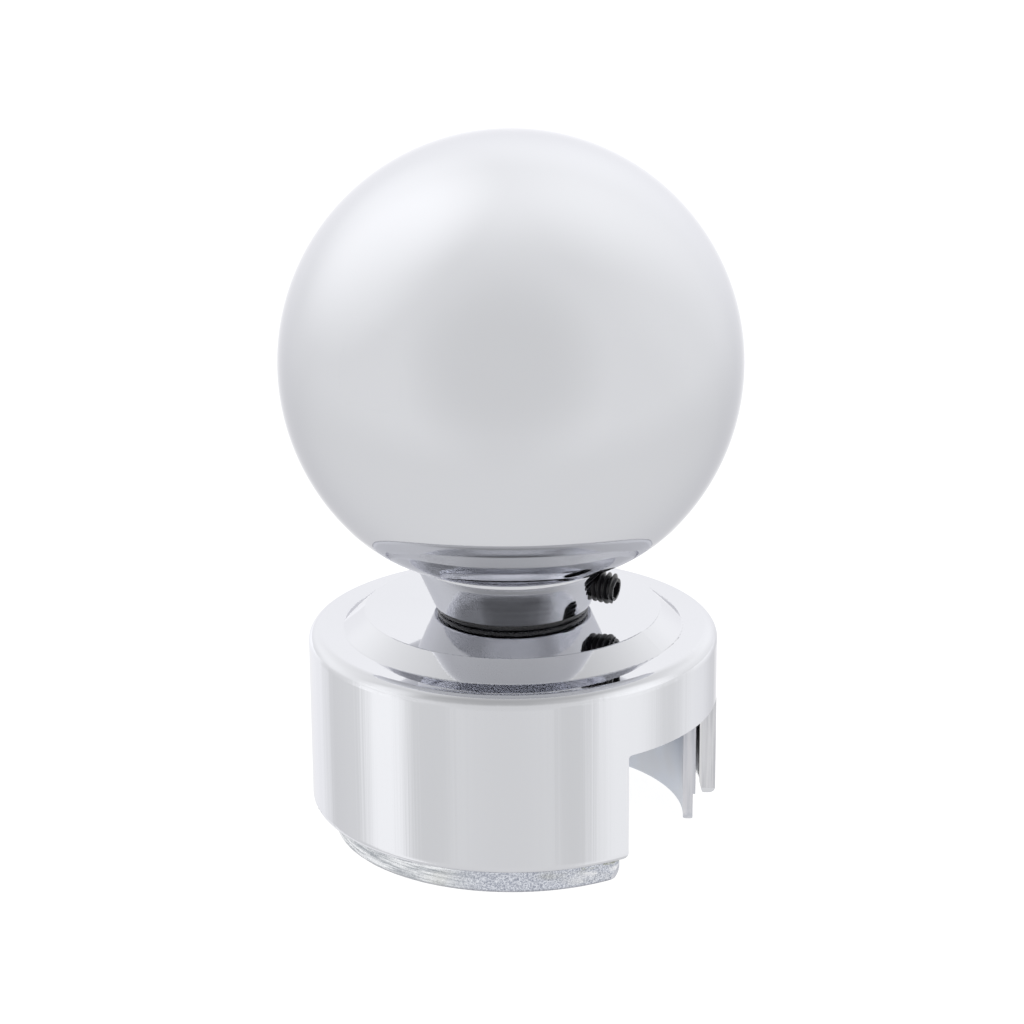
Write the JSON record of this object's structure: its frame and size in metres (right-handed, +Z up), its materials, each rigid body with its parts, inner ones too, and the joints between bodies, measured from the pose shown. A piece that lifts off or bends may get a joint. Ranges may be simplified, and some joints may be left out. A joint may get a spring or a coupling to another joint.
{
  "type": "fence post cap",
  "caption": "Round fence post cap: chrome ball on a conical collar with a set screw and a rubber ring, over a polished stepped cap with a rail slot and an unpolished inner sleeve.",
  "frame": {"origin": "centre of the post bore's mouth, on the bottom plane of the inner sleeve, which is the part's lowest plane", "axes": "+Z up along the post's axis to the top of the ball; +X points out of the middle of the rail slot; +Y completes the right-handed frame"},
  "size_m": [0.08, 0.08, 0.1246],
  "materials": {
    "ball_chrome": "mirror polished chrome plate on steel",
    "collar_chrome": "turned and chrome plated, faint turning lines",
    "black_rubber": "moulded black rubber with a slight sheen",
    "shell_chrome": "polished chrome plate, matt on the slot's cut faces",
    "black_oxide_steel": "black oxide, slightly oily",
    "turned_steel": "turned bright steel",
    "cast_aluminium": "as cast, unpolished, grainy",
    "zinc_plated_steel": "zinc plated"
  },
  "bodies": {
    "root": {"cap_shell": "shell_chrome", "inner_sleeve": "cast_aluminium", "spigot": "turned_steel", "spigot_screw": "zinc_plated_steel", "lock_washer": "zinc_plated_steel", "sleeve_screw_1": "zinc_plated_steel", "sleeve_screw_2": "zinc_plated_steel", "sleeve_screw_3": "zinc_plated_steel"},
    "washer": {"collar_washer": "black_rubber"},
    "ball_head": {"ball_shell": "ball_chrome", "ball_collar": "collar_chrome"},
    "set_screw": {"set_screw": "black_oxide_steel"}
  },
  "joints": [
    {"name": "ball_turn", "type": "hinge", "parent": "root", "child": "washer", "pos_m": [0, 0, 0.04034], "axis": [0, 0, 1], "continuous": true},
    {"name": "ball_lift", "type": "slide", "parent": "washer", "child": "ball_head", "axis": [0, 0, 1], "range_m": [0, 0.024]},
    {"name": "set_screw_travel", "type": "slide", "parent": "ball_head", "child": "set_screw", "axis": [0.9863, 0.1342, -0.0958], "range_m": [-0.0006, 0.008]}
  ]
}
